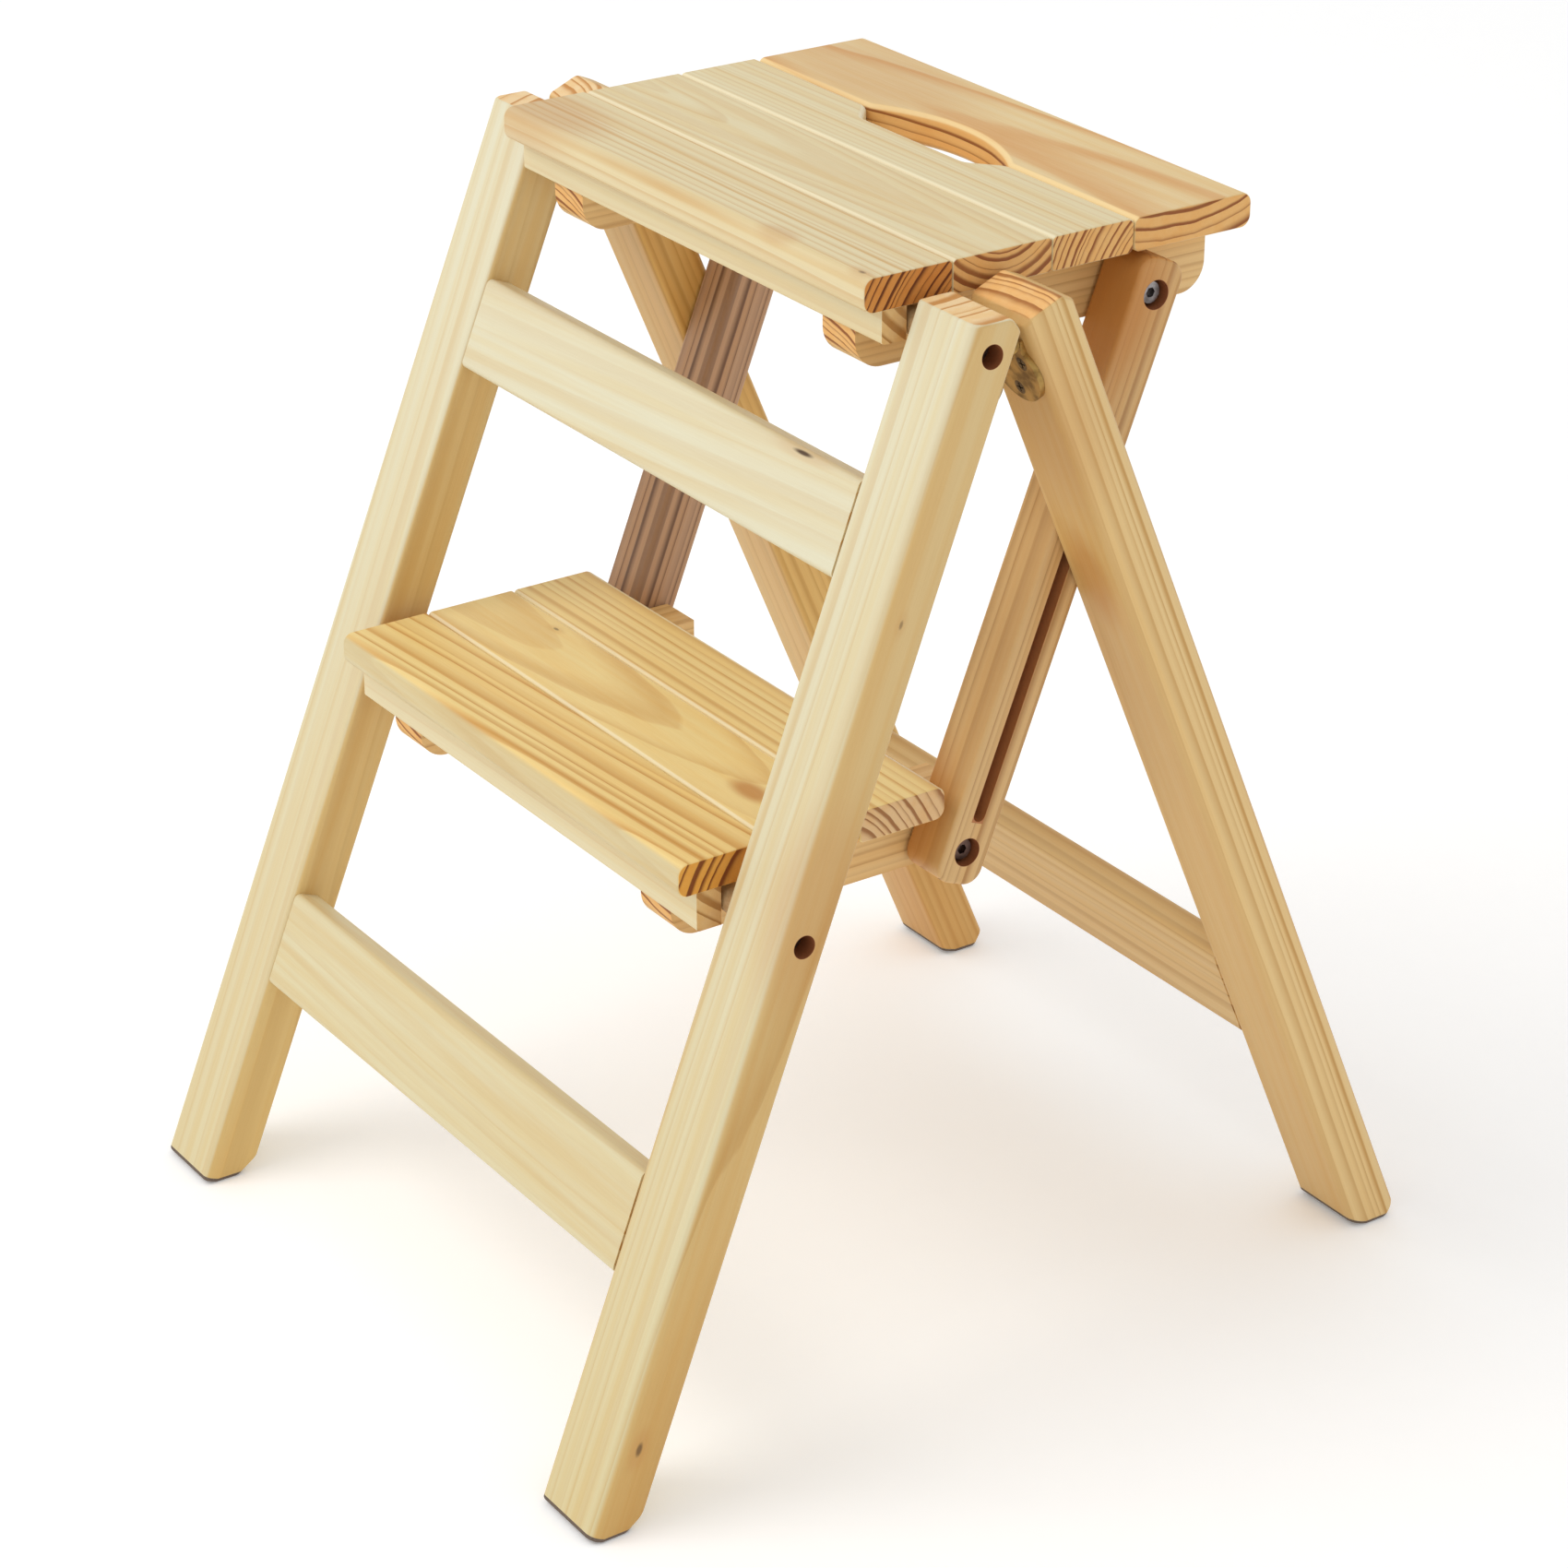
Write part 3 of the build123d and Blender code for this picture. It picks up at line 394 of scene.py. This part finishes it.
def wood(node, axis, pith, spacing, wander=6.0, tilt=(0.0, 0.0), face=PALE, contrast=0.6, side=None,
         side_contrast=0.7, side_axis=ACROSS, end=SLAT_END, tone_share=0.3, streak_share=0.5, low_tint=0.0,
         edge_highlight=None, knots_and_shade_spots=(), bolts=(), hole_radius=LEG_HOLE, groove_shaded=False, hollow=None):
    """Sawn pine on one CAD node. Pith, spacing and wander are in millimetres, the pith across the grain from
    the node's middle, and the tilt of the pith line is in degrees. Faces across the side axis take the side
    colours, if there are any. The wood can turn darker and yellower towards the floor, and eased edges can
    carry a painted highlight in a given colour. The walls of a hollow, a point and three radii in metres,
    take the end-grain colours, partly the cut wall's own tone and partly painted shade."""
    material, tree, shader = new_material("pine_" + node)
    lean = Euler((0.0, math.radians(tilt[0]), math.radians(tilt[1])))
    turn = (grain_frame(axis).to_matrix() @ lean.to_matrix()).to_euler()
    offset = Vector((0.0, pith[0] * MM, pith[1] * MM))
    offset.rotate(turn)
    coordinates = tree.add("ShaderNodeTexCoord")
    place = coordinates.outputs["Object"]
    normal = coordinates.outputs["Normal"]
    mapping = tree.add("ShaderNodeMapping", vector_type="TEXTURE")
    mapping.inputs["Location"].default_value = middle(node) + offset
    mapping.inputs["Rotation"].default_value = turn
    tree.link(place, mapping.inputs["Vector"])
    grain = tree.add("ShaderNodeGroup", node_tree=grain_group)
    tree.link(mapping.outputs["Vector"], grain.inputs["Vector"])
    number = sum(ord(letter) for letter in node)
    seed = [number * step % span for step, span in zip(SEED_STEPS, SEED_SPANS)]
    grain.inputs["Seed"].default_value = seed
    grain.inputs["Spacing"].default_value = spacing * MM
    grain.inputs["Wander"].default_value = wander * MM
    late = grain.outputs["Late"]

    colour = tree.mix(tree.math("MULTIPLY", late, contrast, clamp=True), *face)
    if side:
        sideways = tree.math("ABSOLUTE", tree.vector("DOT_PRODUCT", normal, side_axis))
        beside = tree.mix(tree.math("MULTIPLY", late, side_contrast, clamp=True), *side)
        colour = tree.mix(tree.range(sideways, *SIDE_FADE), colour, beside)

    # The ends show the rings darker and more orange
    along = Vector(ACROSS)
    along.rotate(turn)
    facing = tree.math("ABSOLUTE", tree.vector("DOT_PRODUCT", normal, along))
    cut = tree.range(facing, *END_FADE)
    if hollow:
        centre, radii = hollow
        away = tree.vector("DIVIDE", tree.vector("SUBTRACT", place, centre), radii)
        within = tree.range(tree.vector("LENGTH", away), *HOLLOW_FADE)
        level = tree.math("ABSOLUTE", tree.vector("DOT_PRODUCT", normal, UP))
        wall = tree.range(level, *WALL_FADE)
        cut = tree.math("MAXIMUM", cut, tree.math("MULTIPLY", within, wall))
    colour = tree.mix(cut, colour, tree.mix(tree.range(late, *END_RING_FADE), *end))

    tone = tree.range(grain.outputs["Tone"], *TONE_FADE)
    colour = tree.shade(tree.math("MULTIPLY", tone, tone_share), colour, WARM_SHADE)
    streak = tree.range(grain.outputs["Streak"], *STREAK_FADE)
    colour = tree.shade(tree.math("MULTIPLY", streak, streak_share), colour, STREAK_SHADE)
    fibre = tree.range(grain.outputs["Fibre"], *FIBRE_FADE, smooth=False)
    colour = tree.shade(tree.math("MULTIPLY", fibre, FIBRE_SHARE), colour, FIBRE_SHADE)
    # Darker and yellower towards the floor
    if low_tint:
        height = tree.vector("DOT_PRODUCT", place, UP)
        low = tree.range(height, LOW_TINT_FROM, 0.0, 0.0, low_tint, smooth=False)
        colour = tree.shade(low, colour, LOW_TINT)
    # Painted highlight: a pale colour on eased edges that face up and forward or back
    if edge_highlight:
        tipped = tree.math("ABSOLUTE", tree.vector("DOT_PRODUCT", normal, FORWARD))
        leaning = tree.range(tipped, *TIPPED_FADE)
        eased = tree.math("MULTIPLY", leaning, tree.range(tipped, *UPRIGHT_FADE, 0.0, EDGE_HIGHLIGHT_SHARE))
        upward = tree.range(tree.vector("DOT_PRODUCT", normal, UP), *UPWARD_FADE)
        colour = tree.mix(tree.math("MULTIPLY", eased, upward), colour, edge_highlight)
    colour = with_knots_and_shade_spots(tree, place, turn, colour, knots_and_shade_spots)
    # Painted shade inside the bolt holes
    colour = with_bore_shade(tree, place, colour, bolts, hole_radius)
    # Painted shade in the link's groove
    if groove_shaded:
        colour = with_groove_shade(tree, place, colour)
    tree.link(colour, shader.inputs["Base Color"])

    rough = tree.math("MULTIPLY_ADD", fibre, FIBRE_ROUGHNESS, WOOD_ROUGHNESS)
    tree.link(tree.math("MULTIPLY_ADD", cut, END_ROUGHNESS, rough), shader.inputs["Roughness"])
    fibre_relief = tree.math("MULTIPLY", fibre, FIBRE_RELIEF)
    tree.bump(shader, tree.math("MULTIPLY_ADD", late, RING_RELIEF, fibre_relief), *WOOD_BUMP)
    shader.inputs["Specular IOR Level"].default_value = WOOD_SPECULAR
    shader.inputs["Coat Weight"].default_value = COAT_WEIGHT
    shader.inputs["Coat Roughness"].default_value = COAT_ROUGHNESS
    paint(node, material)


def metal(name, base, dark, roughness, scratch_scale):
    """Plated metal with fine scratches and a patchy tarnish."""
    material, tree, shader = new_material(name)
    place = tree.add("ShaderNodeTexCoord").outputs["Object"]
    patches = tree.noise(place, TARNISH_SCALE, PATCH_DETAIL).outputs["Fac"]
    tarnish = tree.range(patches, *TARNISH_FADE)
    stretched = tree.vector("MULTIPLY", place, (scratch_scale, *SCRATCH_SCALE))
    scratch = tree.noise(stretched, 1.0).outputs["Fac"]
    tarnished = tree.math("MULTIPLY", tarnish, TARNISH_SHARE)
    tree.link(tree.mix(tarnished, base, dark), shader.inputs["Base Color"])
    rough = tree.math("MULTIPLY_ADD", tarnish, TARNISH_ROUGHNESS, roughness)
    tree.link(tree.math("MULTIPLY_ADD", scratch, SCRATCH_ROUGHNESS, rough), shader.inputs["Roughness"])
    tree.bump(shader, scratch, *METAL_BUMP)
    shader.inputs["Metallic"].default_value = 1.0
    return material


def speckled(name, base, fleck, scale, roughness, bump_depth):
    """Matt rubber or plastic with a fine fleck."""
    material, tree, shader = new_material(name)
    place = tree.add("ShaderNodeTexCoord").outputs["Object"]
    flecks = tree.noise(place, scale, PATCH_DETAIL, FLECK_NOISE_ROUGHNESS).outputs["Fac"]
    tree.link(tree.mix(tree.range(flecks, *FLECK_FADE), base, fleck), shader.inputs["Base Color"])
    tree.link(tree.math("MULTIPLY_ADD", flecks, FLECK_ROUGHNESS, roughness), shader.inputs["Roughness"])
    tree.bump(shader, flecks, FLECK_BUMP, bump_depth)
    return material


# Wood: grain axis, pith (mm, across the grain), ring spacing (mm)
leg_bolts = ("seat_pivot_bolts", "step_pivot_bolts")
link_bolts = ("seat_link_bolts", "step_link_bolts")
wood("front_leg_right", "front", (-86, -16), 7.4, wander=9.0, face=FRONT, contrast=0.45, side=LEG_SIDE,
     side_contrast=0.6, end=LEG_END, streak_share=0.6, low_tint=1.0, bolts=leg_bolts,
     knots_and_shade_spots=(knot_or_shade_spot((0.1922, -0.2001, 0.0391), 2.0, 0.7, 0.3),
            knot_or_shade_spot((0.1861, -0.0677, 0.3761), 1.2, 0.5, 0.15),
            knot_or_shade_spot((0.1881, -0.1094, 0.2629), 9.0, 0.0, 0.3)))
wood("front_leg_left", "front", (70, 40), 8.0, wander=9.0, face=FRONT, contrast=0.3, side=LEFT_SIDE,
     side_contrast=0.6, end=LEG_END, low_tint=0.8, bolts=leg_bolts)
wood("rear_leg_right", "rear", (6, -110), 4.6, face=REAR_FRONT, side=REAR_SIDE, side_contrast=0.95,
     end=REAR_LEG_END,
     knots_and_shade_spots=(knot_or_shade_spot((0.1605, 0.0490, 0.3590), 5.0, 0.0, 0.55),
            knot_or_shade_spot((0.1680, 0.0134, 0.4426), 10.0, 0.0, 0.3)))
wood("rear_leg_left", "rear", (-22, -60), 4.2, face=REAR_FRONT, side=ORANGE_SIDE, end=LEG_END,
     knots_and_shade_spots=(knot_or_shade_spot((-0.1420, 0.1990, 0.0150), 20.0, 0.0, 0.45),))
wood("upper_front_rail", "x", (20, -44), 7.5, wander=14.0, tilt=(-2.5, 0.0), face=FRONT, contrast=0.3,
     end=PALE, low_tint=0.6, knots_and_shade_spots=(knot_or_shade_spot((0.1060, -0.0597, 0.4211), 1.5, 0.95, 0.2, stretch=6.0),))
wood("lower_front_rail", "x", (24, 36), 8.0, wander=16.0, tilt=(2.0, 1.0), face=FRONT, contrast=0.3,
     end=PALE, low_tint=0.9)
wood("rear_rail", "x", (-30, -46), 4.6, wander=8.0, face=RAIL, contrast=0.55, end=WARM)
wood("seat_slat_front", "x", (64, -46), 3.4, wander=7.0, contrast=0.75, end=DARK_END,
     knots_and_shade_spots=(knot_or_shade_spot((0.1299, -0.0481, 0.5020), 1.6, 0.7, 0.25),
            knot_or_shade_spot((0.0715, -0.0481, 0.5025), 2.6, 0.0, 0.3),
            knot_or_shade_spot((-0.1250, -0.0400, 0.5028), 9.0, 0.0, 0.4)))
wood("seat_slat_second", "x", (2, 23), 4.0, wander=9.0, tilt=(-2.0, 0.0), contrast=0.5, edge_highlight=EDGE_HIGHLIGHT)
wood("seat_slat_third", "x", (60, -34), 3.0, contrast=0.45, edge_highlight=EDGE_HIGHLIGHT)
wood("seat_slat_rear", "x", (-12, 93), 4.4, wander=8.0, tilt=(1.5, 0.5), face=REAR_SLAT, contrast=0.9,
     tone_share=0.5, edge_highlight=REAR_EDGE_HIGHLIGHT, knots_and_shade_spots=(knot_or_shade_spot((-0.0850, 0.1120, 0.5028), 14.0, 0.0, 0.3),),
     hollow=((0.0, 0.0823, 0.4953), (0.058, 0.020, 0.016)))
wood("seat_apron", "x", (40, 40), 6.0, wander=8.0, contrast=0.3, end=WARM)
wood("step_slat_front", "x", (56, -36), 5.2, wander=12.0, tilt=(1.2, 2.5), face=GOLD, contrast=1.0,
     side=NOSE, side_contrast=0.3, side_axis=FORWARD, end=STEP_END, low_tint=1.0)
wood("step_slat_middle", "x", (6, -40), 5.0, wander=13.0, tilt=(2.8, 0.0), face=GOLD, contrast=0.45,
     low_tint=0.4, edge_highlight=EDGE_HIGHLIGHT,
     knots_and_shade_spots=(knot_or_shade_spot((-0.0904, -0.0610, 0.2711), 1.2, 0.6, 0.2),
            knot_or_shade_spot((0.0985, -0.0810, 0.2711), 2.6, 0.0, 0.8)))
wood("step_slat_rear", "x", (-56, -40), 3.8, wander=8.0, face=GOLD, contrast=0.75, end=SOFT_END, edge_highlight=EDGE_HIGHLIGHT)
wood("step_apron", "x", (40, 50), 6.5, wander=9.0, contrast=0.3, end=WARM)
for side_name in ("left", "right"):
    wood("seat_cleat_" + side_name, "y", (20, -66), 3.6, wander=7.0, face=WARM)
    wood("step_cleat_" + side_name, "y", (-20, 70), 3.9, wander=7.0, face=WARM)
# The right link's two orange spots are painted shade: under the seat at the top, and under the step lower
# down
wood("link_right", "front", (30, 40), 4.2, face=LINK, side=LINK, side_contrast=0.8, streak_share=0.6,
     knots_and_shade_spots=(knot_or_shade_spot((0.1294, 0.0783, 0.4667), 9.0, 0.0, 0.95),
            knot_or_shade_spot((0.1180, -0.0125, 0.2470), 7.5, 0.0, 0.75)),
     bolts=link_bolts, hole_radius=LINK_HOLE, groove_shaded=True)
# The left link, the same pine as the right one, takes a darker palette as painted shade
wood("link_left", "front", (30, -40), 4.2, face=SHADED_LINK, contrast=1.0, bolts=link_bolts,
     hole_radius=LINK_HOLE, groove_shaded=True)
for node in ("front_rail_dowels", "rear_rail_dowels"):
    wood(node, "x", (9, 4), 1.2, wander=1.0, face=DOWEL, contrast=0.5)

# Hardware
steel = metal("zinc_steel", (0.55, 0.56, 0.58), (0.30, 0.30, 0.31), 0.28, 900.0)
# Seat link bolts: darker steel with red-brown patches, partly tarnish and partly painted shade of the hole
shade_tarnished_steel = metal("shade_tarnished_steel", (0.42, 0.40, 0.40), (0.09, 0.065, 0.055), 0.25, 900.0)
# Bolts sunk deep in their holes: steel painted dark red-brown as the holes' shade
shade_dark_steel = metal("painted_shade_steel", (0.16, 0.10, 0.08), (0.06, 0.035, 0.025), 0.42, 900.0)
brass = metal("aged_brass", (0.46, 0.29, 0.09), (0.15, 0.085, 0.03), 0.34, 700.0)
dark_brass = metal("aged_screws", (0.17, 0.11, 0.05), (0.05, 0.03, 0.015), 0.38, 700.0)
rubber = speckled("rubber_pad", (0.12, 0.085, 0.060), (0.17, 0.12, 0.09), 900.0, 0.7, 0.0003)
nylon = speckled("nylon_spacer", (0.52, 0.33, 0.15), (0.62, 0.42, 0.22), 500.0, 0.5, 0.0001)
SLOT_LOOKS = {"steel": steel, "brass": brass, "pad": rubber, "spacer": nylon}
for entry in frame["record"]["subparts"]:
    if entry["material_slot"] in SLOT_LOOKS:
        paint(entry["node"], SLOT_LOOKS[entry["material_slot"]])
# Sunken bolts take the steel painted dark as shade
for node in (*leg_bolts, "step_link_bolts"):
    paint(node, shade_dark_steel)
paint("seat_link_bolts", shade_tarnished_steel)
for node in ("hinge_front_screws", "hinge_rear_screws"):
    paint(node, dark_brass)

# Shading: smooth across eased edges, sharp at real ones
for node in frame["nodes"].values():
    for face in node.data.polygons:
        face.use_smooth = True
    crisp = node.modifiers.new("crisp_edges", "EDGE_SPLIT")
    crisp.split_angle = SHARP_ANGLE


# Floor, light and camera
def floor():
    size = FLOOR_REACH
    mesh = bpy.data.meshes.new("floor")
    corners = [(-size, -size, 0), (size, -size, 0), (size, size, 0), (-size, size, 0)]
    mesh.from_pydata(corners, [], [(0, 1, 2, 3)])
    plane = bpy.data.objects.new("floor", mesh)
    bpy.context.collection.objects.link(plane)
    material, tree, shader = new_material("pale_floor")
    place = tree.add("ShaderNodeTexCoord").outputs["Object"]
    speck = tree.noise(place, FLOOR_SCALE, 3.0).outputs["Fac"]
    tree.link(tree.mix(speck, *FLOOR_SPECKS), shader.inputs["Base Color"])
    shader.inputs["Roughness"].default_value = FLOOR_ROUGHNESS
    shader.inputs["Specular IOR Level"].default_value = FLOOR_SPECULAR
    shader.inputs["Emission Color"].default_value = (1.0, 1.0, 1.0, 1.0)
    shader.inputs["Emission Strength"].default_value = FLOOR_GLOW
    mesh.materials.append(material)


def key_light():
    lamp = bpy.data.lights.new("key", "AREA")
    lamp.shape = "DISK"
    lamp.size = KEY_SIZE
    lamp.energy = KEY_POWER
    lamp.color = KEY_COLOUR
    holder = bpy.data.objects.new("key", lamp)
    holder.location = KEY_PLACE
    aim = Vector(KEY_TARGET) - Vector(KEY_PLACE)
    holder.rotation_euler = aim.to_track_quat("-Z", "Y").to_euler()
    bpy.context.collection.objects.link(holder)


floor()
world = bpy.data.worlds.new("studio")
world.use_nodes = True
world.node_tree.nodes["Background"].inputs["Color"].default_value = (1.0, 1.0, 1.0, 1.0)
world.node_tree.nodes["Background"].inputs["Strength"].default_value = SKY_STRENGTH
bpy.context.scene.world = world
key_light()

camera_data = bpy.data.cameras.new("camera")
camera_data.lens = CAMERA_LENS
camera_data.sensor_width = SENSOR_WIDTH
camera_data.clip_end = VIEW_REACH
camera = bpy.data.objects.new("camera", camera_data)
camera.location = CAMERA_PLACE
camera.rotation_euler = [math.radians(angle) for angle in CAMERA_TURN]
bpy.context.collection.objects.link(camera)
bpy.context.scene.camera = camera
bpy.context.scene.view_settings.view_transform = "Standard"
